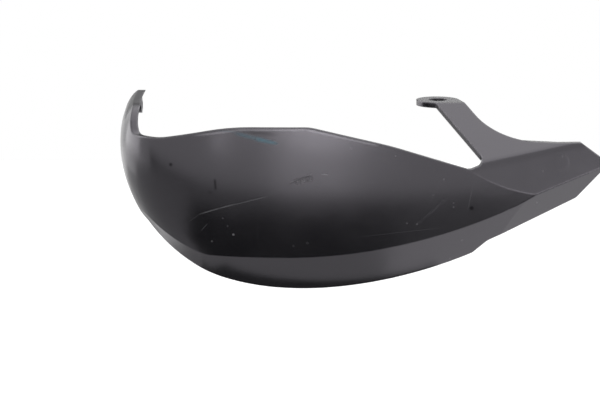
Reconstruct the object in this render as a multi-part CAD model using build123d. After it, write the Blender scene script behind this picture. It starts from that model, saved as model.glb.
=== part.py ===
"""Motorcycle hand guard, one moulded shell.

The frame sits on the axis of the bar-end screw, inside the ear wall: X runs inboard
along the grip, Y runs back towards the rider and Z is up.  All sizes are in millimetres.
"""

import os
from math import asin, comb, cos, radians, sin, sqrt, tan

from build123d import *

# Wall thickness of the face, of the end ear and of the strap.
WALL = 3.0
EAR_WALL = 5.2
STRAP_WALL = 4.0
RIM_ROUND = 1.2

# Outer skin in plan: how far it reaches inboard, forward and back past the ear.
LENGTH = 343.0
REACH = 106.0
EAR_BACK = 16.0
END_X = -5.5
END_FLARE = 2.2
END_BELLY = 0.8
EAR_MID_SHARE = 0.21
SIDE_SHARE = 0.585
TURN_SHARE = 0.056
FLAT_SHARE = 0.315
BOW_SHARE = 0.62
BEND_SHARE = 0.81
TURN_BACK = 1.0
BOW_BACK = 3.0
BEND_BACK = 16.0
INBOARD_BACK = 44.0

# Outer skin in height: level of the widest line, crown of the end and of the face.
WIDE_Z = -22.0
END_CROWN_LOW = 74.0
END_CROWN_HIGH = 100.0
SHOULDER = 20.5
FACE_CROWN = 260.0
FACE_CROWN_Z = -45.0
SKIN_TOP = 16.0
SKIN_LOW = -120.0
SKIN_DEPTH = 150.0
SKIN_LEVELS = 14
SKIN_STEPS = 21
SKIN_TOLERANCE = 0.02
PLAN_FRONT_SHARE = 0.2
SEARCH_STEPS = 40

# Crease between the face and the lower flange, an arc in the front view.
CREASE_RADIUS = 375.0
CREASE_X = 106.0
CREASE_Z = -85.1
FLANGE_ANGLE = 30.0
CREASE_ROUND = 2.0

# The lower outer corner, where the flange turns up towards the ear.
KINK_X = 55.5
KINK_SLOPE = 19.3
KINK_ANGLE = 38.0
KINK_ROUND = 40.0
CORNER_X = 17.0
CORNER_RADIUS = 130.0
CORNER_LEAN = 30.0
LIP_DEPTH = 48.0
LIP_STEPS = 4
FLANGE_LEAD = 15.0
FLANGE_OVERRUN = 16.0
FLANGE_STEPS = 15
CORNER_STEPS = 12
CORNER_LEAD_STEPS = 4

# Inboard facets: notch corner, web, band and lower facet.
NOTCH_X = 226.7
NOTCH_Z = -28.2
WEB_X = 264.7
WEB_Z = -44.6
BAND_END_X = 302.1
BAND_END_Z = -15.1
WEB_SETBACK = 5.6
ROOT_X = 238.3
ROOT_Z = -24.6
BAND_ROUND = 10.0
LOW_X = 264.0
TIP_X = 320.8
TIP_Z = -28.3
HEEL_X = 240.3
HEEL_Z = -77.7
LOW_TIP_IN = 3.0
LOW_TIP_DROP = 2.0
LOW_STEP_X = 5.0
LOW_STEP_Z = 2.0

# Front outline.
CREST_X = 123.6
CREST_ROUND = 30.0
CREST_LEFT_X = 72.0
CREST_LEFT_ROUND = 150.0
SHOULDER_X = 18.0
SHOULDER_Z = -8.8
LEVEL_X = 26.0
LEVEL_ROUND = 50.0
TOP_BOW_SHARE = 0.428
TOP_BOW_ROUND = 250.0
NOTCH_LEAD_ROUND = 6.0
NOTCH_ROUND = 4.0
BEAM_TOP_Z = -14.7
BEAM_RISE = 2.9
BEAM_EASE = 15.0
BEAM_LOW_X = 300.4
BEAM_LOW_Z = -52.2
TAIL_X = 230.5
TAIL_Z = -86.6
SIDE_X = 16.0
SIDE_Z = -68.0
BOTTOM_Z = -109.4
BOTTOM_IN_SHARE = 0.73
BOTTOM_IN_DROP = 1.026
BOTTOM_OUT_SHARE = 0.282
BOTTOM_OUT_DROP = 1.174
TIP_ROUND = 2.5

# Strap and eyelet tab.
FOLD_X = 218.0
FOLD_RISE = 32.2
FOLD_BACK = 48.6
STRAP_WIDTH = 19.5
STRAP_BLEND = 47.0
STRAP_LIFT = 6.0
STRAP_RUN_SHARE = 0.62
STRAP_FOOT_SHARE = 0.88
FOLD_ROUND = 3.0
TAB_WALL = 3.6
EYELET_X = 210.7
EYELET_RADIUS = 14.5
EYELET_BORE = 12.5

# End ear and bar-end screw hole.
EAR_RADIUS = 10.5
EAR_SLOPE = 3.2
BROW_BACK = 52.2
BROW_ROUND = 28.0
FOOT_BACK = 37.1
FOOT_ROUND = 8.0
SIDE_BACK = 44.0
SIDE_Y = SIDE_BACK - REACH
SIDE_STEP = 4.0
SIDE_DROP = 20.0
SIDE_RIM_LEAD = 10.0
EAR_LOW_BACK = 70.0
EAR_LOW_RISE = 12.0
EAR_LOW_SLOPE = 20.0
EAR_LOW_LEAD = 18.0
BOLT_BORE = 6.5
BOLT_FACE_X = 7.5
EAR_BOSS = 11.0
RIB_WALL = 2.2
RIB_RISE = 3.5
RIB_PITCH = 11.0
RIB_COUNT = 3
RIB_END_X = 24.0
RIM_END = 1.0
TOUCH = 0.01

# Blind stud behind the web.
STUD_X = 287.0
STUD_Z = -26.0
STUD_BORE = 4.0
STUD_WALL = 2.5
STUD_LENGTH = 9.0

FAR = 400.0


def skin_controls(z, inset):
    """Plan control points of the outer skin at one level, moved inward by inset walls."""
    rise = z - WIDE_Z
    if rise > 0:
        end_shift = rise**2 / (2 * END_CROWN_HIGH) + (rise / SHOULDER) ** 4
    else:
        end_shift = rise**2 / (2 * END_CROWN_LOW)
    end_shift += inset * EAR_WALL
    face_shift = (z - FACE_CROWN_Z) ** 2 / (2 * FACE_CROWN) + inset * WALL
    plan = [
        (END_X - END_FLARE, EAR_BACK, 1, 0),
        (END_X + END_BELLY / 2, -EAR_MID_SHARE * REACH, 1, 0),
        (END_X + END_BELLY, -SIDE_SHARE * REACH, 1, 0),
        (END_X, -REACH, 1, 0.5),
        (TURN_SHARE * LENGTH, TURN_BACK - REACH, 0.5, 1),
        (FLAT_SHARE * LENGTH, -REACH, 0, 1),
        (BOW_SHARE * LENGTH, BOW_BACK - REACH, 0, 1),
        (BEND_SHARE * LENGTH, BEND_BACK - REACH, 0, 1),
        (LENGTH, INBOARD_BACK - REACH, 0, 1),
    ]
    return [(x + a * end_shift, y + b * face_shift) for x, y, a, b in plan]


def plan_at(controls, s):
    """Point of the plan curve at share s of its run."""
    degree = len(controls) - 1
    shares = [comb(degree, i) * s**i * (1 - s) ** (degree - i) for i in range(degree + 1)]
    return [sum(w * p[k] for w, p in zip(shares, controls)) for k in (0, 1)]


def skin_point(x, z):
    """Point of the outer skin's front at a given x and z."""
    controls = skin_controls(z, 0)
    low, high = PLAN_FRONT_SHARE, 1.0
    for _ in range(SEARCH_STEPS):
        middle = (low + high) / 2
        if plan_at(controls, middle)[0] < x:
            low = middle
        else:
            high = middle
    return Vector(x, plan_at(controls, low)[1], z)


def skin_volume(inset):
    """Everything behind the outer skin."""
    rows = []
    for j in range(SKIN_LEVELS):
        z = SKIN_LOW + (SKIN_TOP - SKIN_LOW) * j / (SKIN_LEVELS - 1)
        controls = skin_controls(z, inset)
        steps = [i / (SKIN_STEPS - 1) for i in range(SKIN_STEPS)]
        rows.append([Vector(*plan_at(controls, s), z) for s in steps])
    skin = Face.make_surface_from_array_of_points(rows, tol=SKIN_TOLERANCE, min_deg=3, max_deg=5)
    return extrude(skin, SKIN_DEPTH, dir=(0, 1, 0))


def crease_point(x):
    """Point of the crease between face and flange, level outboard of its lowest point."""
    run = max(x - CREASE_X, 0)
    z = CREASE_Z + CREASE_RADIUS - sqrt(CREASE_RADIUS**2 - run**2)
    return skin_point(x, z)


def corner_turn(x):
    """Angle by which the crease has turned up at x, outboard of the kink."""
    return asin((KINK_X - x) / CORNER_RADIUS + sin(radians(KINK_SLOPE)))


def corner_point(x):
    """Point of the crease where it climbs from the kink to the ear."""
    climb = cos(radians(KINK_SLOPE)) - cos(corner_turn(x))
    return skin_point(x, CREASE_Z + CORNER_RADIUS * climb)


def half_space(points, front, inset_mm):
    """Block on the outer side of the plane through three points."""
    first, second, third = points
    normal = (second - first).cross(third - first).normalized()
    if normal.dot(front) < 0:
        normal = -normal
    plane = Plane(origin=first - normal * inset_mm, z_dir=normal)
    return plane * Box(3 * FAR, 3 * FAR, FAR, align=(Align.CENTER, Align.CENTER, Align.MIN))


def front_of(starts, inset):
    """Everything in front of a lip that leaves each start point at its own turn and lean."""
    rows = []
    for start, turn, lean in starts:
        back = Vector(-sin(turn) * cos(lean), sin(lean), -cos(turn) * cos(lean))
        inward = Vector(sin(turn) * sin(lean), cos(lean), cos(turn) * sin(lean))
        root = start + inward * (inset * WALL)
        step = back * (LIP_DEPTH / LIP_STEPS)
        rows.append([root + step * k for k in range(-LIP_STEPS // 2, LIP_STEPS + 1)])
    lip = Face.make_surface_from_array_of_points(rows, tol=SKIN_TOLERANCE, min_deg=3, max_deg=5)
    return extrude(lip, SKIN_DEPTH, dir=(0, -1, 0))


def flange_cuts(inset):
    """Blocks in front of the lower flange and of its outer corner."""
    lean = radians(FLANGE_ANGLE)
    front_start = KINK_X - FLANGE_LEAD
    front_step = (LOW_X + FLANGE_OVERRUN - front_start) / FLANGE_STEPS
    front = [(crease_point(front_start + front_step * i), 0, lean) for i in range(FLANGE_STEPS + 1)]
    corner = []
    corner_step = (KINK_X + FLANGE_OVERRUN - CORNER_X) / CORNER_STEPS
    for i in range(-CORNER_LEAD_STEPS, CORNER_STEPS + 1):
        x = CORNER_X + corner_step * i
        near = max(x, CORNER_X)
        start = corner_point(near)
        if x < near:
            start += (corner_point(CORNER_X) - corner_point(CORNER_X + 1)) * (near - x)
        more = (KINK_X - x) / (KINK_X - CORNER_X)
        corner.append((start, corner_turn(near), radians(KINK_ANGLE + CORNER_LEAN * more)))
    return front_of(front, inset), front_of(corner, inset)


NOTCH = skin_point(NOTCH_X, NOTCH_Z)
WEB_END = skin_point(WEB_X, WEB_Z)
BAND_END = skin_point(BAND_END_X, BAND_END_Z) + Vector(0, WEB_SETBACK, 0)
WEB_NORMAL = (WEB_END - NOTCH).cross(BAND_END - NOTCH).normalized()
if WEB_NORMAL.Y > 0:
    WEB_NORMAL = -WEB_NORMAL


def web_point(x, z):
    """Point of the web plane at a given x and z."""
    reach = WEB_NORMAL.X * (x - NOTCH.X) + WEB_NORMAL.Z * (z - NOTCH.Z)
    return Vector(x, NOTCH.Y - reach / WEB_NORMAL.Y, z)


ROOT = web_point(ROOT_X, ROOT_Z)
FOLD = Vector(FOLD_X, ROOT.Y + FOLD_BACK, ROOT.Z + FOLD_RISE)
BAND_NORMAL = (BAND_END - ROOT).cross(FOLD - ROOT).normalized()
if BAND_NORMAL.Y > 0:
    BAND_NORMAL = -BAND_NORMAL


def inboard_cut(inset):
    """Block in front of the web and above the band, with the soft edge between them."""
    run = (BAND_END - ROOT).normalized()
    plane = Plane(origin=ROOT, x_dir=WEB_NORMAL, z_dir=run)
    down = plane.to_local_coords(ROOT + run.cross(WEB_NORMAL) * FAR)
    if (plane.from_local_coords(down) - ROOT).Z > 0:
        down = -down
    up = plane.to_local_coords(ROOT + run.cross(BAND_NORMAL) * FAR)
    if (plane.from_local_coords(up) - ROOT).Z < 0:
        up = -up
    web_out = Vector(1, 0, 0)
    band_out = plane.to_local_coords(ROOT + BAND_NORMAL)
    half = web_out + band_out
    corner = -half * (inset * WALL / half.dot(web_out))
    line = FilletPolyline(
        corner + down,
        corner,
        corner + up,
        corner + up + band_out * FAR,
        corner + down + web_out * FAR,
        radius=[0, BAND_ROUND - inset * WALL, 0, 0, 0],
        close=True,
    )
    start = (NOTCH_X - ROOT_X) / run.X
    face = plane * Pos(0, 0, start) * make_face(line)
    return extrude(face, FAR, dir=run)


def low_corners():
    """Corners of the lower inboard facet: on the crease, at the heel and near the tip."""
    heel_crease = crease_point(HEEL_X)
    drop = heel_crease.Z - HEEL_Z
    heel = Vector(HEEL_X, heel_crease.Y + drop * sin(radians(FLANGE_ANGLE)), HEEL_Z)
    return crease_point(LOW_X), heel, web_point(TIP_X - LOW_TIP_IN, TIP_Z - LOW_TIP_DROP)


def low_cut(inset):
    """Block below the lower inboard facet."""
    return half_space(low_corners(), Vector(1, -1, -1), inset * WALL)


def block(inset):
    """The whole guard as one thick block bounded by its outer skin."""
    front, corner = flange_cuts(inset)
    solid = skin_volume(inset) - front - corner
    return solid - inboard_cut(inset) - low_cut(inset)


BAND_PLANE = Plane(origin=FOLD, x_dir=BAND_NORMAL.cross(Vector(0, 0, 1)), z_dir=BAND_NORMAL)
if BAND_PLANE.x_dir.X < 0:
    BAND_PLANE = Plane(origin=FOLD, x_dir=-BAND_PLANE.x_dir, z_dir=BAND_NORMAL)
FOLD_LEFT = BAND_PLANE.from_local_coords(Vector(-STRAP_WIDTH / 2, 0, 0))
FOLD_RIGHT = BAND_PLANE.from_local_coords(Vector(STRAP_WIDTH / 2, 0, 0))
RIDGE = ROOT + (FOLD_LEFT - ROOT) * ((BEAM_TOP_Z + BEAM_RISE - ROOT.Z) / (FOLD_LEFT.Z - ROOT.Z))


def top_outline():
    """Prism under the top edge seen from the front, open upward over the ear."""
    corners = [
        ((-FAR, FAR), 0),
        ((SHOULDER_X, FAR), 0),
        ((SHOULDER_X, SHOULDER_Z), 0),
        ((LEVEL_X, SHOULDER_Z), LEVEL_ROUND),
        ((CREST_LEFT_X, 0), CREST_LEFT_ROUND),
        ((CREST_X, 0), CREST_ROUND),
        (((CREST_X + NOTCH_X) / 2, TOP_BOW_SHARE * NOTCH_Z), TOP_BOW_ROUND),
        ((NOTCH_X, NOTCH_Z), NOTCH_LEAD_ROUND),
        ((ROOT.X, ROOT.Z), NOTCH_ROUND),
        ((RIDGE.X, RIDGE.Z), RIM_ROUND),
        ((BAND_END_X - BEAM_EASE, BEAM_TOP_Z), BEAM_EASE),
        ((FAR, BEAM_TOP_Z), 0),
        ((FAR, -FAR), 0),
        ((-FAR, -FAR), 0),
    ]
    line = FilletPolyline(*[p for p, _ in corners], radius=[r for _, r in corners], close=True)
    return extrude(Plane.XZ.offset(-FAR) * make_face(line), 2 * FAR)


def low_outline():
    """Prism above the lower edge seen from the front, with the cut-off inboard end."""
    upper = FilletPolyline(
        (-FAR, SIDE_Z),
        (-FAR, FAR),
        (BAND_END_X, FAR),
        (BAND_END_X, BEAM_TOP_Z),
        (TIP_X, TIP_Z),
        (BEAM_LOW_X, BEAM_LOW_Z),
        (HEEL_X, HEEL_Z),
        (TAIL_X, TAIL_Z),
        radius=[0, 0, 0, TIP_ROUND, 2 * TIP_ROUND, 5 * TIP_ROUND],
    )
    lower = Bezier(
        (TAIL_X, TAIL_Z),
        (BOTTOM_IN_SHARE * TAIL_X, BOTTOM_IN_DROP * BOTTOM_Z),
        (BOTTOM_OUT_SHARE * TAIL_X, BOTTOM_OUT_DROP * BOTTOM_Z),
        (SIDE_X, SIDE_Z),
    )
    side = Line((SIDE_X, SIDE_Z), (-FAR, SIDE_Z))
    face = make_face([*upper.edges(), *lower.edges(), *side.edges()])
    return extrude(Plane.XZ.offset(-FAR) * face, 2 * FAR)


def ear_cuts():
    """Blocks above and below the side wall that leave the ear standing."""
    slope = radians(EAR_SLOPE)
    crown = Vector(-sin(slope), cos(slope)) * EAR_RADIUS
    brow_y = BROW_BACK - REACH
    brow = Vector(brow_y, crown.Y + (brow_y - crown.X) * tan(slope))
    tip = Vector(EAR_RADIUS, 0)
    turn = EAR_RADIUS * sqrt(0.5)
    rise = FilletPolyline(
        (-FAR, SHOULDER_Z),
        (FOOT_BACK - REACH, SHOULDER_Z),
        brow,
        crown,
        radius=[FOOT_ROUND, BROW_ROUND],
    )
    over = ThreePointArc(crown, (turn, turn), tip)
    above = Polyline(tip, (FAR, 0), (FAR, FAR), (-FAR, FAR), (-FAR, SHOULDER_Z))
    low_slope = radians(EAR_LOW_SLOPE)
    low = Vector(-sin(low_slope), -cos(low_slope)) * EAR_RADIUS
    lead = Vector(cos(low_slope), -sin(low_slope)) * EAR_LOW_LEAD
    side = Vector(SIDE_Y, SIDE_Z)
    drop = side - Vector(SIDE_STEP, SIDE_DROP)
    under = ThreePointArc(tip, (turn, -turn), low)
    sweep = Bezier(low, low - lead, (EAR_LOW_BACK - REACH, SIDE_Z + EAR_LOW_RISE), side)
    below = Polyline(side, drop, (drop.X, -FAR), (FAR, -FAR), (FAR, 0), tip)
    plane = Plane.YZ.offset(-FAR)
    upper = make_face([*rise.edges(), *over.edges(), *above.edges()])
    lower = make_face([*under.edges(), *sweep.edges(), *below.edges()])
    return extrude(plane * upper, FAR + SHOULDER_X), extrude(plane * lower, FAR + KINK_X)


def rim_edges(solid, before):
    """Edges of a cut solid that lie on the surface it was cut from."""
    surface = before.shells()[0]
    edges = new_edges(before, combined=solid)
    return [e for e in edges if Vertex(*e.position_at(0.5)).distance_to(surface) < TOUCH]


def outer_block():
    """The thick block trimmed to its outline, with its rims and creases rounded."""
    above_ear, below_ear = ear_cuts()
    skin = skin_volume(0)
    solid = (skin & top_outline()) - above_ear
    rim = [e for e in rim_edges(solid, skin) if e.position_at(0.5).Y < EAR_RADIUS - RIM_END]
    solid = solid.fillet(RIM_ROUND, rim)
    for cut in flange_cuts(0):
        solid -= cut
    solid -= inboard_cut(0)
    solid -= low_cut(0)
    kink = crease_point(KINK_X)
    lean = radians(FLANGE_ANGLE)
    lip = Vector(0, sin(lean), -cos(lean)) * (LIP_DEPTH / LIP_STEPS)
    turn = solid.edges().sort_by_distance(kink + lip)[0]
    solid = solid.fillet(KINK_ROUND, [turn])
    start, heel, tip = low_corners()
    marks = [
        kink,
        corner_point((KINK_X + CORNER_X) / 2),
        crease_point((KINK_X + LOW_X) / 2),
        (NOTCH + WEB_END) * 0.5,
        skin_point(LOW_X + LOW_STEP_X, start.Z + LOW_STEP_Z),
        (start + tip) * 0.5,
        (start + heel) * 0.5,
    ]
    solid = solid.fillet(CREASE_ROUND, [solid.edges().sort_by_distance(m)[0] for m in marks])
    trimmed = (solid & low_outline()) - below_ear
    rim = []
    for edge in rim_edges(trimmed, solid):
        middle = edge.position_at(0.5)
        if middle.Y < SIDE_Y and SIDE_X + SIDE_RIM_LEAD < middle.X < TAIL_X:
            rim.append(edge)
    return trimmed.fillet(RIM_ROUND, rim)


def on_band(x, z):
    """Place in the band's plane of a point seen from the front."""
    y = (z - FOLD.Z) / BAND_PLANE.y_dir.Z
    return Vector((x - FOLD.X - y * BAND_PLANE.y_dir.X) / BAND_PLANE.x_dir.X, y)


def strap_and_tab():
    """Leaning strap and the level eyelet tab folded from its top."""
    left = Vector(-STRAP_WIDTH / 2, 0)
    right = Vector(STRAP_WIDTH / 2, 0)
    root = BAND_PLANE.to_local_coords(ROOT)
    slide = root - left
    run = BAND_PLANE.to_local_coords(BAND_END) - root
    ridge = on_band(RIDGE.X, RIDGE.Z)
    fall = on_band(BAND_END_X - BEAM_EASE, BEAM_TOP_Z) - ridge
    turn = right + slide * ((ridge - right).cross(fall).Z / slide.cross(fall).Z)
    end = root + Vector(0, STRAP_LIFT) + run * STRAP_RUN_SHARE
    line = FilletPolyline(
        left,
        right,
        turn,
        ridge + fall * ((end.X - ridge.X) / fall.X),
        end,
        left + slide * STRAP_FOOT_SHARE,
        radius=[0, 0, STRAP_BLEND, 0, 0, 0],
        close=True,
    )
    strap = extrude(BAND_PLANE * make_face(line), -STRAP_WALL)
    ring = Pos(EYELET_X, FOLD.Y + EYELET_RADIUS, FOLD.Z) * Circle(EYELET_RADIUS)
    fold = Line(FOLD_LEFT, FOLD_RIGHT)
    tab = extrude(make_hull([*ring.edges(), *fold.edges()]), -TAB_WALL)
    solid = strap + tab
    return solid.fillet(FOLD_ROUND, [solid.edges().sort_by_distance(FOLD)[0]])


def ear_details(outer):
    """Boss round the bar-end screw and the level ribs inside the outer wall."""
    top = (Align.CENTER, Align.CENTER, Align.MAX)
    details = outer & Plane.YZ.offset(BOLT_FACE_X) * Cylinder(EAR_BOSS / 2, FAR / 4, align=top)
    skin = skin_volume(1 + RIB_RISE / EAR_WALL)
    for i in range(RIB_COUNT):
        z = SHOULDER_Z - RIB_WALL - RIB_PITCH * i
        slab = Pos(RIB_END_X - FAR / 2, -FAR / 2 - EAR_RADIUS, z) * Box(FAR, FAR, RIB_WALL)
        details += (outer & slab) - skin
    return details


def stud():
    """Blind stud behind the web and the bore left open at its back."""
    plane = Plane(origin=web_point(STUD_X, STUD_Z), z_dir=-WEB_NORMAL)
    base = (Align.CENTER, Align.CENTER, Align.MIN)
    post = plane * Pos(0, 0, WALL / 2) * Cylinder(STUD_BORE / 2 + STUD_WALL, STUD_LENGTH, align=base)
    bore = plane * Pos(0, 0, WALL) * Cylinder(STUD_BORE / 2, STUD_LENGTH, align=base)
    return post, bore


if __name__ == "__main__":
    outer = outer_block()
    shell = outer - block(1)
    shell += ear_details(outer)
    shell -= Plane.YZ * Cylinder(BOLT_BORE / 2, FAR / 4)
    shell += strap_and_tab()
    shell -= Pos(EYELET_X, FOLD.Y + EYELET_RADIUS, FOLD.Z) * Cylinder(EYELET_BORE / 2, 4 * TAB_WALL)
    post, bore = stud()
    shell += post
    shell -= bore
    os.makedirs("parts", exist_ok=True)
    export_step(shell, "parts/guard_shell.step")
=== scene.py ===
import logging
import math
from dataclasses import dataclass
from enum import Enum
from functools import partial, reduce

import bpy
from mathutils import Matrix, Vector

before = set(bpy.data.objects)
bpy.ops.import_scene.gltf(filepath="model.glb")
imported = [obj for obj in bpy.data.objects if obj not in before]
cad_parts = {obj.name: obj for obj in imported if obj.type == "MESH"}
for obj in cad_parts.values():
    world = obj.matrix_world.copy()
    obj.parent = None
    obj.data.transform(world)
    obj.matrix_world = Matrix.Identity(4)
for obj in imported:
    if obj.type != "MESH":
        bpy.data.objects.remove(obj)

LOG = logging.getLogger("hand_guard")
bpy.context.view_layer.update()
MM = 0.001
WHITE = (1.0, 1.0, 1.0)
Socket = bpy.types.NodeSocket
Value = float | Socket
Colour = tuple[float, float, float]
Point = tuple[float, float, float]
Place = tuple[float, float]


class Ray(Enum):
    """The kinds of ray that meet the white surroundings, by their Light Path output."""

    CAMERA = "Is Camera Ray"
    GLOSSY = "Is Glossy Ray"
    TRANSMISSION = "Is Transmission Ray"


class Trace(Enum):
    """What a mark of use, or a painted highlight, does to the plastic under it."""

    SCRATCH = "scratch"
    SCUFF = "scuff"
    # A pale line painted along the rim where its rounding would catch light: a painted highlight.
    RUB = "painted_highlight"
    PAINT = "paint"
    STAIN = "stain"
    SPECK = "speck"
    PIN = "pin"


class Nodes:
    """A thin layer over a node tree, so that a formula reads as a chain of calls."""

    # The Mix node repeats its socket names for each kind of value, so its colour sockets go by place.
    MIX_UNDER = 6
    MIX_OVER = 7
    MIX_RESULT = 2

    def __init__(self, tree: bpy.types.NodeTree) -> None:
        """Takes over the tree and empties it."""
        self.tree = tree
        self.tree.nodes.clear()

    def add(self, kind: str, sockets: dict[str | int, object] | None = None,
            **settings: object) -> bpy.types.Node:
        """Adds one node.

        Args:
            kind: the node's type name, without the ShaderNode prefix.
            sockets: input name or index to a number, a vector or a socket to link.
            settings: the node's own properties.

        Returns:
            The node.
        """
        prefix = "" if kind.startswith("NodeGroup") else "ShaderNode"
        node = self.tree.nodes.new(prefix + kind)
        for name, value in settings.items():
            setattr(node, name, value)
        for key, value in (sockets or {}).items():
            self.put(node.inputs[key], value)
        return node

    def put(self, target: Socket, value: object) -> None:
        """Fills an input.

        Args:
            target: the input.
            value: the socket to link to it, or else its own value.
        """
        if isinstance(value, bpy.types.NodeSocket):
            self.tree.links.new(value, target)
        else:
            target.default_value = value

    def math(self, operation: str, *values: Value) -> Socket:
        """Adds a Math node over numbers and sockets and returns its result."""
        return self.add("Math", dict(enumerate(values)), operation=operation).outputs[0]

    def times(self, *values: Value) -> Value:
        """Returns the product of one or more numbers and sockets."""
        return reduce(partial(self.math, "MULTIPLY"), values)

    def most(self, *values: Value) -> Value:
        """Returns the largest of one or more numbers and sockets."""
        return reduce(partial(self.math, "MAXIMUM"), values)

    def vector(self, operation: str, sockets: dict[str | int, object], output: str = "Vector") -> Socket:
        """Adds a Vector Math node and returns the named output."""
        return self.add("VectorMath", sockets, operation=operation).outputs[output]

    def ease(self, value: Socket, low: Value, high: Value,
             floor: float = 0.0, ceiling: float = 1.0) -> Socket:
        """Maps a value smoothly from the span low to high onto floor to ceiling.

        Args:
            value: the socket to map.
            low: where the result is the floor.
            high: where the result is the ceiling.
            floor: the result at low.
            ceiling: the result at high.

        Returns:
            The mapped socket.
        """
        sockets = {"Value": value, "From Min": low, "From Max": high, "To Min": floor, "To Max": ceiling}
        return self.add("MapRange", sockets, interpolation_type="SMOOTHSTEP").outputs["Result"]

    def blend(self, factor: Socket, under: object, over: object) -> Socket:
        """Mixes two colours.

        Args:
            factor: how much of the upper colour shows, 0 to 1.
            under: the lower colour, or its socket.
            over: the upper colour, or its socket.

        Returns:
            The mixed colour.
        """
        sockets = {"Factor": factor, self.MIX_UNDER: under, self.MIX_OVER: over}
        return self.add("Mix", sockets, data_type="RGBA").outputs[self.MIX_RESULT]


def rgba(colour: Colour) -> tuple[float, float, float, float]:
    """Returns a colour with full opacity."""
    return (*colour, 1.0)


def new_material(name: str) -> tuple[bpy.types.Material, Nodes]:
    """Adds a material.

    Args:
        name: the material's name.

    Returns:
        The material and its empty node tree.
    """
    material = bpy.data.materials.new(name)
    material.use_nodes = True
    return material, Nodes(material.node_tree)


def open_group(name: str, inputs: dict[str, str]) -> tuple[bpy.types.NodeTree, Nodes, dict[str, Socket]]:
    """Starts a node group with one output, called Mask.

    Args:
        name: the group's name.
        inputs: each input's name and its socket type, without the NodeSocket prefix.

    Returns:
        The group, its nodes and the sockets of its inputs by name.
    """
    tree = bpy.data.node_groups.new(name, "ShaderNodeTree")
    for label, kind in inputs.items():
        tree.interface.new_socket(label, in_out="INPUT", socket_type="NodeSocket" + kind)
    tree.interface.new_socket("Mask", in_out="OUTPUT", socket_type="NodeSocketFloat")
    nodes = Nodes(tree)
    source = nodes.add("NodeGroupInput")
    return tree, nodes, {label: source.outputs[label] for label in inputs}


def streak_group() -> bpy.types.NodeTree:
    """Builds the mask of one bowed streak.

    A place is split into t along the streak and s across it. The streak's middle line is the parabola
    s = 4 bow t (1 - t). Its half width grows evenly along t by the flare, and the mask falls off over
    that half width and over both ends.

    Returns:
        The node group.
    """
    tree, nodes, given = open_group("streak", {
        "Place": "Vector", "Start": "Vector", "Along": "Vector", "Across": "Vector", "Length": "Float",
        "Bow": "Float", "Half Width": "Float", "Flare": "Float", "Fade": "Float", "Strength": "Float"})
    offset = nodes.vector("SUBTRACT", {0: given["Place"], 1: given["Start"]})
    along = nodes.vector("DOT_PRODUCT", {0: offset, 1: given["Along"]}, "Value")
    across = nodes.vector("DOT_PRODUCT", {0: offset, 1: given["Across"]}, "Value")
    t = nodes.math("DIVIDE", along, given["Length"])
    left = nodes.math("SUBTRACT", 1.0, t)
    arch = nodes.times(t, left, given["Bow"], 4.0)
    gap = nodes.math("ABSOLUTE", nodes.math("SUBTRACT", across, arch))
    half = nodes.math("MULTIPLY_ADD", t, given["Flare"], given["Half Width"])
    ends = nodes.times(nodes.ease(t, 0.0, given["Fade"]), nodes.ease(left, 0.0, given["Fade"]))
    mask = nodes.times(nodes.ease(gap, half, 0.0), ends, given["Strength"])
    nodes.add("NodeGroupOutput", {"Mask": mask})
    return tree


def dot_group() -> bpy.types.NodeTree:
    """Builds the mask of a round spot, which falls off from its core to its radius.

    Returns:
        The node group.
    """
    tree, nodes, given = open_group("dot", {
        "Place": "Vector", "Centre": "Vector", "Radius": "Float", "Core": "Float", "Strength": "Float"})
    gap = nodes.vector("DISTANCE", {0: given["Place"], 1: given["Centre"]}, "Value")
    spot = nodes.ease(gap, given["Radius"], given["Core"])
    nodes.add("NodeGroupOutput", {"Mask": nodes.times(spot, given["Strength"])})
    return tree


@dataclass(frozen=True)
class Streak:
    """A scratch, scuff, smear or painted highlight line on the front of the shell, in millimetres seen from
    the front.

    Its middle stands aside by the bow, it widens by the flare from its start to its end, and each end
    fades over a share of the length.
    """

    trace: Trace
    start: Place
    end: Place
    width: float
    strength: float
    bow: float = 0.0
    flare: float = 0.0
    fade: float = 0.2

    def sockets(self) -> dict[str, object]:
        """Works out the streak's direction and length.

        Returns:
            The values for the streak group.
        """
        run = Vector(self.end) - Vector(self.start)
        along = run.normalized()
        return {"Start": (*self.start, 0.0), "Along": (*along, 0.0), "Across": (-along.y, along.x, 0.0),
                "Length": run.length, "Bow": self.bow, "Half Width": self.width / 2,
                "Flare": self.flare / 2, "Fade": self.fade, "Strength": self.strength}


@dataclass(frozen=True)
class Dot:
    """A round nick, stain or speck on the front of the shell, in millimetres seen from the front.

    It is full within its core, a share of the radius, and fades from there.
    """

    trace: Trace
    centre: Place
    radius: float
    strength: float
    core: float = 0.4

    def sockets(self) -> dict[str, object]:
        """Returns the values for the dot group."""
        return {"Centre": (*self.centre, 0.0), "Radius": self.radius, "Core": self.core * self.radius,
                "Strength": self.strength}


Mark = Streak | Dot
Masks = dict[Trace, Socket]


@dataclass(frozen=True)
class Span:
    """A stretch of a value's range, with what it becomes at its start and at its end."""

    start: float
    end: float
    floor: float = 0.0
    ceiling: float = 1.0

    def ease(self, nodes: Nodes, value: Socket) -> Socket:
        """Returns the value, mapped smoothly over the span."""
        return nodes.ease(value, self.start, self.end, self.floor, self.ceiling)


@dataclass(frozen=True)
class Pattern:
    """A noise over the shell, by its waves per millimetre."""

    per_mm: float
    detail: float
    roughness: float

    def noise(self, nodes: Nodes, place: Socket) -> Socket:
        """Adds the noise at a place in millimetres and returns its factor."""
        sockets = {"Vector": place, "Scale": self.per_mm, "Detail": self.detail, "Roughness": self.roughness}
        return nodes.add("TexNoise", sockets).outputs["Fac"]


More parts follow.
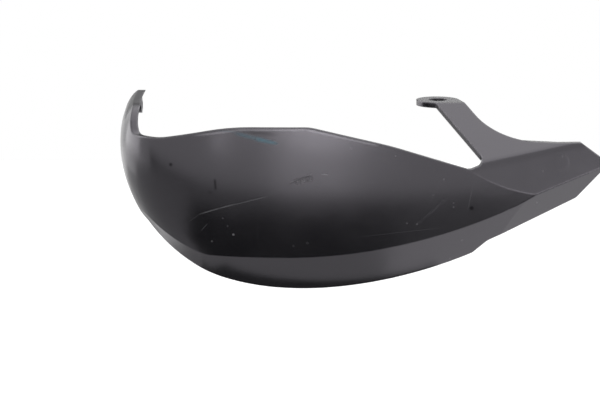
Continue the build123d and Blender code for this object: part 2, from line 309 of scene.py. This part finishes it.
@dataclass(frozen=True)
class SatinPlastic:
    """Black moulded plastic with a fine grain, a satin sheen, edges paled partly by wear and partly as a
    painted highlight, marks of use and a painted rim highlight.

    Radii, depths and heights are in millimetres. The hairline stretch is in waves per millimetre along each
    axis. The front span is of the normal's part along Y. The span of the paled edges is of the cosine of the
    angle between the normal and the softened one; those edges are partly worn and partly a painted
    highlight.
    """

    colour: Colour = (0.0066, 0.0066, 0.0078)
    cloudy_colour: Colour = (0.0082, 0.0082, 0.0094)
    worn_colour: Colour = (0.17, 0.17, 0.18)
    scuff_colour: Colour = (0.1, 0.097, 0.105)
    # Pale edges are partly wear and partly a painted highlight; this colour also paints the rim highlight
    # line.
    worn_edge_and_highlight_colour: Colour = (0.13, 0.126, 0.136)
    paint_colour: Colour = (0.02, 0.1, 0.13)
    stain_colour: Colour = (0.003, 0.003, 0.0035)
    sheen_tint: Colour = (0.955, 0.905, 1.0)
    specular: float = 0.94
    stain_cover: float = 0.75
    paint_cover: float = 0.35
    roughness: float = 0.21
    cloudiness: float = 0.03
    scuff_roughness: float = 0.15
    grain_depth: float = 0.012
    scratch_depth: float = 0.03
    scuff_depth: float = 0.15
    pin_height: float = 0.05
    edge_radius: float = 1.2
    edge_wear_and_highlight_radius: float = 2.0
    edge_samples: int = 8
    hairline_stretch: Point = (0.015, 0.04, 0.9)
    hairlines: Pattern = Pattern(per_mm=1.0, detail=4.0, roughness=0.7)
    hairline_span: Span = Span(0.5, 0.75, ceiling=0.03)
    clouds: Pattern = Pattern(per_mm=0.03, detail=5.0, roughness=0.6)
    cloud_span: Span = Span(0.3, 0.7)
    patches: Pattern = Pattern(per_mm=0.25, detail=3.0, roughness=0.5)
    patch_span: Span = Span(0.35, 0.65, floor=0.4)
    grain: Pattern = Pattern(per_mm=1.3, detail=3.0, roughness=0.6)
    grit: Pattern = Pattern(per_mm=1.1, detail=3.0, roughness=0.7)
    scuff_grit: Span = Span(0.4, 0.6)
    scratch_grit: Span = Span(0.25, 0.5)
    paint_grit: Span = Span(0.25, 0.6, floor=0.5)
    front_span: Span = Span(-0.1, -0.3)
    edge_wear_and_highlight_span: Span = Span(0.99, 0.9)

    def material(self, name: str, marks: tuple[Mark, ...]) -> bpy.types.Material:
        """Builds the material.

        Args:
            name: the material's name.
            marks: the marks of use and the painted rim highlight on the front.

        Returns:
            The material.
        """
        material, nodes = new_material(name)
        place = nodes.vector("SCALE", {0: nodes.add("TexCoord").outputs["Object"], "Scale": 1 / MM})
        masks = self.masks(nodes, place, marks)
        cloud = self.cloud_span.ease(nodes, self.clouds.noise(nodes, place))
        shader = nodes.add("BsdfPrincipled", {
            "Base Color": self.tone(nodes, place, cloud, masks),
            "Roughness": self.dullness(nodes, place, cloud, masks),
            "Specular IOR Level": self.sheen(nodes, masks),
            "Specular Tint": rgba(self.sheen_tint),
            "Normal": self.relief(nodes, place, masks)})
        nodes.add("OutputMaterial", {"Surface": shader.outputs["BSDF"]})
        return material

    def masks(self, nodes: Nodes, place: Socket, marks: tuple[Mark, ...]) -> Masks:
        """Adds every mark's mask and joins those of one kind.

        Args:
            nodes: the material's nodes.
            place: the place on the shell, in millimetres.
            marks: the marks of use and the painted rim highlight.

        Returns:
            One mask for each kind of mark, kept to what faces the front, and gritty where it is rough.
        """
        split = nodes.add("SeparateXYZ", {0: place})
        flat = nodes.add("CombineXYZ", {"X": split.outputs["X"], "Y": split.outputs["Z"]}).outputs[0]
        facing = nodes.add("SeparateXYZ", {0: nodes.add("NewGeometry").outputs["Normal"]}).outputs["Y"]
        front = self.front_span.ease(nodes, facing)
        groups = {Streak: streak_group(), Dot: dot_group()}
        found: dict[Trace, list[Socket]] = {trace: [] for trace in Trace}
        for mark in marks:
            node = nodes.add("Group", {"Place": flat, **mark.sockets()}, node_tree=groups[type(mark)])
            found[mark.trace].append(node.outputs["Mask"])
        joined = {trace: nodes.times(nodes.most(*found[trace]), front) for trace in Trace}
        grit = self.grit.noise(nodes, place)
        gritty = {
            Trace.SCUFF: self.scuff_grit,
            Trace.SCRATCH: self.scratch_grit,
            Trace.PAINT: self.paint_grit,
        }
        for trace, span in gritty.items():
            joined[trace] = nodes.times(joined[trace], span.ease(nodes, grit))
        return joined

    def softened(self, nodes: Nodes, radius: float) -> Socket:
        """Returns the normal with its edges softened to a radius in millimetres."""
        return nodes.add("Bevel", {"Radius": radius * MM}, samples=self.edge_samples).outputs["Normal"]

    def tone(self, nodes: Nodes, place: Socket, cloud: Socket, masks: Masks) -> Socket:
        """Mixes the colour.

        Args:
            nodes: the material's nodes.
            place: the place on the shell, in millimetres.
            cloud: the slow change from handling, 0 to 1.
            masks: the marks of use and the painted rim highlight.

        Returns:
            The clouded black, paler on edges partly as wear and partly as a painted highlight, under the
            marks of use and the painted rim highlight.
        """
        normal = nodes.add("NewGeometry").outputs["Normal"]
        # Edges are paled partly as wear and partly as a painted highlight of the light that their rounding
        # catches.
        turn = nodes.vector("DOT_PRODUCT", {0: self.softened(nodes, self.edge_wear_and_highlight_radius), 1: normal}, "Value")
        patchy = self.patch_span.ease(nodes, self.patches.noise(nodes, place))
        edges = nodes.times(self.edge_wear_and_highlight_span.ease(nodes, turn), patchy)
        layers = (
            (nodes.most(edges, masks[Trace.RUB]), self.worn_edge_and_highlight_colour),
            (masks[Trace.SCUFF], self.scuff_colour),
            (masks[Trace.PAINT], self.paint_colour),
            (masks[Trace.STAIN], self.stain_colour),
            (nodes.most(masks[Trace.SCRATCH], masks[Trace.SPECK]), self.worn_colour),
        )
        tone = nodes.blend(cloud, rgba(self.colour), rgba(self.cloudy_colour))
        for mask, colour in layers:
            tone = nodes.blend(mask, tone, rgba(colour))
        return tone

    def dullness(self, nodes: Nodes, place: Socket, cloud: Socket, masks: Masks) -> Socket:
        """Adds up the roughness.

        Args:
            nodes: the material's nodes.
            place: the place on the shell, in millimetres.
            cloud: the slow change from handling, 0 to 1.
            masks: the marks of use.

        Returns:
            The roughness: clouded, with faint wiping lines along the shell, and duller under marks.
        """
        stretched = nodes.vector("MULTIPLY", {0: place, 1: self.hairline_stretch})
        lines = self.hairline_span.ease(nodes, self.hairlines.noise(nodes, stretched))
        dull = nodes.math("MULTIPLY_ADD", cloud, self.cloudiness, self.roughness - self.cloudiness / 2)
        dull = nodes.math("ADD", dull, lines)
        worn = nodes.most(masks[Trace.SCRATCH], masks[Trace.SCUFF], masks[Trace.PAINT])
        return nodes.math("MULTIPLY_ADD", worn, self.scuff_roughness, dull)

    def sheen(self, nodes: Nodes, masks: Masks) -> Socket:
        """Works out the strength of the sheen, which stains and paint cover.

        Args:
            nodes: the material's nodes.
            masks: the marks of use.

        Returns:
            The strength.
        """
        unstained = nodes.math("MULTIPLY_ADD", masks[Trace.STAIN], -self.stain_cover, 1.0)
        unpainted = nodes.math("MULTIPLY_ADD", masks[Trace.PAINT], -self.paint_cover, 1.0)
        return nodes.times(unstained, unpainted, self.specular)

    def relief(self, nodes: Nodes, place: Socket, masks: Masks) -> Socket:
        """Builds the relief in millimetres: the moulded grain and pin mark, less the scratches.

        Args:
            nodes: the material's nodes.
            place: the place on the shell, in millimetres.
            masks: the marks of use.

        Returns:
            The bumped normal.
        """
        height = nodes.times(self.grain.noise(nodes, place), self.grain_depth)
        rises = {
            Trace.PIN: self.pin_height,
            Trace.SCRATCH: -self.scratch_depth,
            Trace.SCUFF: -self.scuff_depth,
        }
        for trace, rise in rises.items():
            height = nodes.math("MULTIPLY_ADD", masks[trace], rise, height)
        soft = self.softened(nodes, self.edge_radius)
        return nodes.add("Bump", {"Height": height, "Distance": MM, "Normal": soft}).outputs["Normal"]


# Painted highlight: pale lines along the top rim stand in for the light that the rim's rounding catches.
PAINTED_RIM_HIGHLIGHT = (
    Streak(Trace.RUB, (46, -6.2), (82, -1.1), width=2.4, strength=0.9, fade=0.3),
    Streak(Trace.RUB, (72, -1.5), (124, -1.3), width=2.4, strength=1.0, fade=0.15),
    Streak(Trace.RUB, (117, -0.5), (170, -12.2), width=2.4, strength=0.9, bow=0.3, fade=0.15),
)
LONG_SCRATCH = (
    Streak(Trace.SCRATCH, (44, -63.5), (53, -56), width=0.9, strength=0.12),
    Streak(Trace.SCRATCH, (49.5, -58), (79, -48.4), width=1.4, strength=0.45, bow=0.5, fade=0.25),
    Streak(Trace.SCRATCH, (68, -51.6), (100, -42.8), width=1.2, strength=0.24, fade=0.3),
    Streak(Trace.SCRATCH, (93, -44.8), (113, -36), width=1.0, strength=0.1, fade=0.4),
    Streak(Trace.SCRATCH, (53, -68.3), (57.5, -62.7), width=0.9, strength=0.25),
    Dot(Trace.SPECK, (74.1, -69.8), radius=1.0, strength=0.9),
    Dot(Trace.SPECK, (60, -75.1), radius=0.9, strength=0.4),
    Dot(Trace.SPECK, (67.4, -59), radius=0.7, strength=0.3),
    Dot(Trace.SPECK, (70.4, -64.2), radius=0.7, strength=0.3),
)
SCUFFED_MIDDLE = (
    Streak(Trace.STAIN, (109, -36.5), (117.5, -32.4), width=0.9, strength=0.6),
    Streak(Trace.SCRATCH, (110, -35.3), (118, -31.4), width=0.8, strength=0.45),
    Streak(Trace.SCUFF, (113, -35), (126, -31.6), width=5.5, strength=1.0),
    Streak(Trace.SCRATCH, (116, -32.2), (126, -28.8), width=0.8, strength=0.4),
    Streak(Trace.STAIN, (113, -34.4), (125, -30.2), width=0.8, strength=0.35),
    Streak(Trace.SCRATCH, (130.5, -29.4), (135.5, -29.7), width=1.1, strength=0.9),
    Streak(Trace.SCRATCH, (117, -39.7), (141, -34.9), width=0.9, strength=0.12, fade=0.4),
    Streak(Trace.SCRATCH, (155, -34.7), (170, -34.8), width=0.8, strength=0.12, fade=0.4),
    Streak(Trace.SCRATCH, (90.8, -51.6), (90.6, -80), width=0.8, strength=0.08, bow=-0.9, fade=0.3),
    Dot(Trace.SPECK, (113, -77), radius=0.9, strength=0.15),
    Dot(Trace.SPECK, (122, -75), radius=1.1, strength=0.15),
    Dot(Trace.SPECK, (149.8, -13.3), radius=0.7, strength=0.35),
    Dot(Trace.SPECK, (178.5, -18.2), radius=0.7, strength=0.35),
)
PAINT_SMEAR = (
    Streak(Trace.PAINT, (86, -6.2), (105, -10.4), width=5.6, strength=0.95, flare=-2.6, fade=0.3),
    Streak(Trace.PAINT, (73, -2.8), (97, -8.6), width=4.4, strength=0.5, fade=0.3),
    Streak(Trace.PAINT, (63, -2.2), (81, -2.9), width=1.4, strength=0.3, fade=0.4),
    Streak(Trace.STAIN, (80, -2.4), (105, -4.6), width=3.6, strength=0.3, fade=0.3),
)
STAINED_END = (
    Dot(Trace.STAIN, (33.8, -25.1), radius=1.5, strength=0.9),
    Streak(Trace.STAIN, (62.4, -32.6), (63, -40.8), width=2.6, strength=0.8),
    Dot(Trace.STAIN, (59.3, -42.1), radius=1.4, strength=0.4),
    Streak(Trace.STAIN, (8.6, -47.5), (11.8, -58), width=2.0, strength=0.6),
)
RUBBED_TAIL = (
    Streak(Trace.SCRATCH, (142, -72.7), (221, -65.2), width=0.7, strength=0.12, bow=0.5, fade=0.3),
    Streak(Trace.SCUFF, (213.5, -44.8), (189, -66.5), width=3.0, strength=0.12),
    Streak(Trace.SCRATCH, (209.4, -34.4), (199, -51), width=1.2, strength=0.08),
    Streak(Trace.SCRATCH, (229.8, -33.5), (225, -58.5), width=0.9, strength=0.12, fade=0.3),
    Dot(Trace.STAIN, (228.3, -53.3), radius=1.9, strength=0.9),
    Dot(Trace.SPECK, (202.8, -43.9), radius=0.6, strength=0.3),
    Dot(Trace.SPECK, (216.5, -52.3), radius=0.7, strength=0.35),
    Dot(Trace.SPECK, (216.4, -49.5), radius=0.6, strength=0.3),
    Dot(Trace.SPECK, (186.3, -62.4), radius=0.8, strength=0.3),
    Dot(Trace.SPECK, (192.8, -63), radius=0.8, strength=0.3),
    Dot(Trace.SPECK, (209.8, -33.9), radius=0.9, strength=0.25),
    Dot(Trace.SPECK, (223, -76), radius=0.9, strength=0.25),
    Dot(Trace.SPECK, (216, -89.8), radius=0.9, strength=0.25),
)
MARKED_WEB = (
    Dot(Trace.PIN, (288.2, -26.4), radius=5.8, strength=1.0, core=0.75),
    Dot(Trace.SPECK, (289, -22.6), radius=0.9, strength=0.2),
    Dot(Trace.SPECK, (272.1, -52.2), radius=0.9, strength=0.3),
    Dot(Trace.SPECK, (275.6, -31.2), radius=0.8, strength=0.25),
)
# The front's marks of use, with the painted rim highlight lines among them.
FRONT_MARKS = (
    PAINTED_RIM_HIGHLIGHT + LONG_SCRATCH + SCUFFED_MIDDLE + PAINT_SMEAR + STAINED_END + RUBBED_TAIL + MARKED_WEB)


@dataclass
class Guard:
    """The one moulded shell: the CAD node in its finish, with the marks of use and a painted rim highlight
    on its front.
    """

    node: str = "guard_shell"
    finish: SatinPlastic = SatinPlastic()
    marks: tuple[Mark, ...] = FRONT_MARKS

    def dress(self) -> bpy.types.Object:
        """Gives the CAD node its finish.

        Returns:
            The node's object.
        """
        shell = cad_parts[self.node]
        material = self.finish.material("satin_black", self.marks)
        for slot in shell.material_slots:
            slot.material = material
        return shell


@dataclass(frozen=True)
class SoftBox:
    """A rectangular lamp, placed and sized by how the part sees it, in degrees.

    The azimuth runs from the front towards the right, and the elevation upwards.
    """

    name: str
    azimuth: float
    elevation: float
    wide: float
    high: float
    radiance: float
    distance: float = 2.4

    def length(self, angle: float) -> float:
        """Returns the length that fills an angle at the lamp's distance."""
        return 2 * self.distance * math.tan(math.radians(angle / 2))

    def build(self, target: Vector) -> bpy.types.Object:
        """Adds the lamp. Its power is the radiance times pi times its area.

        Args:
            target: the point that it faces.

        Returns:
            The lamp's object.
        """
        lamp = bpy.data.lights.new(self.name, "AREA")
        lamp.shape = "RECTANGLE"
        lamp.size = self.length(self.wide)
        lamp.size_y = self.length(self.high)
        lamp.energy = self.radiance * math.pi * lamp.size * lamp.size_y
        turn = math.radians(self.azimuth)
        rise = math.radians(self.elevation)
        level = math.cos(rise)
        outward = Vector((math.sin(turn) * level, -math.cos(turn) * level, math.sin(rise)))
        holder = bpy.data.objects.new(self.name, lamp)
        holder.location = target + self.distance * outward
        holder.rotation_euler = outward.to_track_quat("Z", "Y").to_euler()
        holder.visible_camera = False
        bpy.context.scene.collection.objects.link(holder)
        return holder


def seen_white(nodes: Nodes) -> Socket:
    """Returns 1 for the rays that show the white surroundings, and 0 for the rest."""
    path = nodes.add("LightPath")
    return nodes.most(*(path.outputs[ray.value] for ray in Ray))


@dataclass(frozen=True)
class Panel:
    """A flat matt sheet of the studio: the floor, or a card that only the sheen mirrors."""

    name: str
    corners: tuple[Point, ...]
    tone: float

    @classmethod
    def level(cls, name: str, outline: tuple[Place, ...], height: float, tone: float) -> "Panel":
        """Returns a level panel, by its outline seen from above."""
        return cls(name, tuple((x, y, height) for x, y in outline), tone)

    @classmethod
    def upright(cls, name: str, across: Place, depth: float, rise: Place, tone: float) -> "Panel":
        """Makes an upright rectangle that faces the camera.

        Args:
            name: the panel's name.
            across: where it starts and ends along X.
            depth: its place along Y.
            rise: where it starts and ends along Z.
            tone: its grey, 0 to 1.

        Returns:
            The panel.
        """
        left, right = across
        low, high = rise
        corners = ((left, depth, low), (right, depth, low), (right, depth, high), (left, depth, high))
        return cls(name, corners, tone)

    def matt(self, nodes: Nodes) -> Socket:
        """Adds the panel's plain grey and returns its shader."""
        return nodes.add("BsdfDiffuse", {"Color": rgba((self.tone, self.tone, self.tone))}).outputs[0]

    def build(self, material: bpy.types.Material) -> bpy.types.Object:
        """Adds the panel to the stage.

        Args:
            material: what it is made of.

        Returns:
            The panel's object.
        """
        mesh = bpy.data.meshes.new(self.name)
        mesh.from_pydata(self.corners, [], [range(len(self.corners))])
        mesh.materials.append(material)
        panel = bpy.data.objects.new(self.name, mesh)
        bpy.context.scene.collection.objects.link(panel)
        return panel

    def build_card(self) -> bpy.types.Object:
        """Adds the panel as a card that the camera doesn't see and that casts no shadow.

        Returns:
            The card's object.
        """
        material, nodes = new_material(self.name)
        nodes.add("OutputMaterial", {"Surface": self.matt(nodes)})
        card = self.build(material)
        card.visible_camera = False
        card.visible_shadow = False
        card.visible_diffuse = False
        return card

    def build_floor(self, glow: float) -> bpy.types.Object:
        """Adds the panel as the floor.

        Args:
            glow: how much is added to the floor's own light where it is seen, so that it shows white.

        Returns:
            The floor's object.
        """
        material, nodes = new_material(self.name)
        lift = nodes.add("Emission", {"Strength": nodes.times(seen_white(nodes), glow)})
        both = nodes.add("AddShader", {0: self.matt(nodes), 1: lift.outputs[0]})
        nodes.add("OutputMaterial", {"Surface": both.outputs[0]})
        return self.build(material)


# Where the studio's panels lie, in metres.
FLOOR_HEIGHT = -0.36
CARD_HEIGHT = -0.35
PAINTED_SHADOW_HEIGHT = -0.125
BACK_DEPTH = 0.6
BACK_RISE = (-0.05, 0.55)


@dataclass
class Studio:
    """Pale floor, white surroundings, soft lamps, cards and the camera."""

    target: Point = (0.12, -0.09, -0.05)
    eye: Point = (0.1172, -1.13596, 0.1739)
    pitch: float = 12.0
    lens: float = 99.0
    sensor: float = 36.0
    fill: float = 0.35
    floor_glow: float = 0.5
    floor: Panel = Panel.level(
        "floor", ((-2.5, -0.35), (2.5, -0.35), (2.5, 1.7), (-2.5, 1.7)), FLOOR_HEIGHT, tone=0.8)
    cards: tuple[Panel, ...] = (
        Panel("low_card", ((-0.26, -0.26, -0.345), (0.25, -0.26, -0.345),
                           (0.33, -0.88, -0.257), (-0.36, -0.70, -0.2826)), tone=0.03),
        Panel.upright("front_card", (-3.2, 1.8), -1.15, (-2.0, -0.25), tone=0.33),
        Panel.level("left_card", ((-1.6, -1.1), (-0.14, -1.1), (-0.14, 0.02), (-0.3, 0.3), (-1.6, 0.3)),
                    CARD_HEIGHT, tone=0.58),
        Panel.level("left_back_card", ((-0.9, 0.3), (-0.24, 0.3), (-0.2, 0.95), (-0.9, 0.95)),
                    CARD_HEIGHT, tone=0.7),
        Panel.level("mid_card", ((-0.14, -0.26), (0.26, -0.26), (0.2, 0.1), (-0.14, 0.1)),
                    CARD_HEIGHT, tone=0.76),
        # A dark card under the shell that only the sheen mirrors, standing in for the shadow the shell would
        # cast there: a painted reflection of shade.
        Panel.level("painted_shadow_card", ((0.03, -0.083), (0.058, -0.0975), (0.22, -0.087),
                                   (0.22, 0.06), (0.03, 0.06)), PAINTED_SHADOW_HEIGHT, tone=0.12),
        Panel.upright("back_card", (-0.3, 0.18), BACK_DEPTH, BACK_RISE, tone=0.5),
        Panel.upright("tab_card", (0.18, 0.45), BACK_DEPTH, BACK_RISE, tone=0.85),
    )
    lamps: tuple[SoftBox, ...] = (
        SoftBox("front_key", azimuth=3, elevation=22, wide=11, high=36, radiance=3.9),
        SoftBox("front_low", azimuth=2, elevation=-5, wide=12, high=17, radiance=1.1),
        SoftBox("front_strip", azimuth=-18, elevation=16, wide=4, high=30, radiance=2.3),
        SoftBox("left", azimuth=-115, elevation=15, wide=44, high=60, radiance=1.5),
        SoftBox("top", azimuth=150, elevation=80, wide=50, high=56, radiance=1.0),
        SoftBox("right", azimuth=75, elevation=0, wide=50, high=60, radiance=2.2),
        SoftBox("right_front", azimuth=40, elevation=-8, wide=18, high=26, radiance=1.6),
        SoftBox("right_low", azimuth=20, elevation=-16, wide=14, high=14, radiance=0.75),
        SoftBox("back", azimuth=180, elevation=30, wide=80, high=60, radiance=0.3),
    )

    def build(self) -> None:
        """Builds the floor, the cards, the surroundings, the lamps and the camera."""
        self.floor.build_floor(self.floor_glow)
        for card in self.cards:
            card.build_card()
        self.surroundings()
        for lamp in self.lamps:
            lamp.build(Vector(self.target))
        self.camera()

    def surroundings(self) -> None:
        """Makes the world white where it is seen and a soft fill elsewhere."""
        world = bpy.data.worlds.new("studio")
        world.use_nodes = True
        nodes = Nodes(world.node_tree)
        strength = nodes.most(seen_white(nodes), self.fill)
        shine = nodes.add("Background", {"Color": rgba(WHITE), "Strength": strength})
        nodes.add("OutputWorld", {"Surface": shine.outputs[0]})
        bpy.context.scene.world = world

    def camera(self) -> None:
        """Places the camera at the photograph's viewing angle.

        An unturned camera looks straight down, so it looks level after a turn of 90 degrees.
        """
        data = bpy.data.cameras.new("camera")
        data.sensor_fit = "HORIZONTAL"
        data.sensor_width = self.sensor
        data.lens = self.lens
        holder = bpy.data.objects.new("camera", data)
        holder.location = self.eye
        holder.rotation_euler = (math.radians(90 - self.pitch), 0.0, 0.0)
        bpy.context.scene.collection.objects.link(holder)
        bpy.context.scene.camera = holder


def main() -> None:
    """Dresses the guard and builds the studio around it."""
    logging.basicConfig(level=logging.INFO, format="%(name)s: %(message)s")
    shell = Guard().dress()
    LOG.info("%s dressed, %d faces", shell.name, len(shell.data.polygons))
    studio = Studio()
    studio.build()
    LOG.info("studio built, %d lamps and %d cards", len(studio.lamps), len(studio.cards))
    bpy.context.scene.view_settings.view_transform = "Standard"


if __name__ == "__main__":
    main()
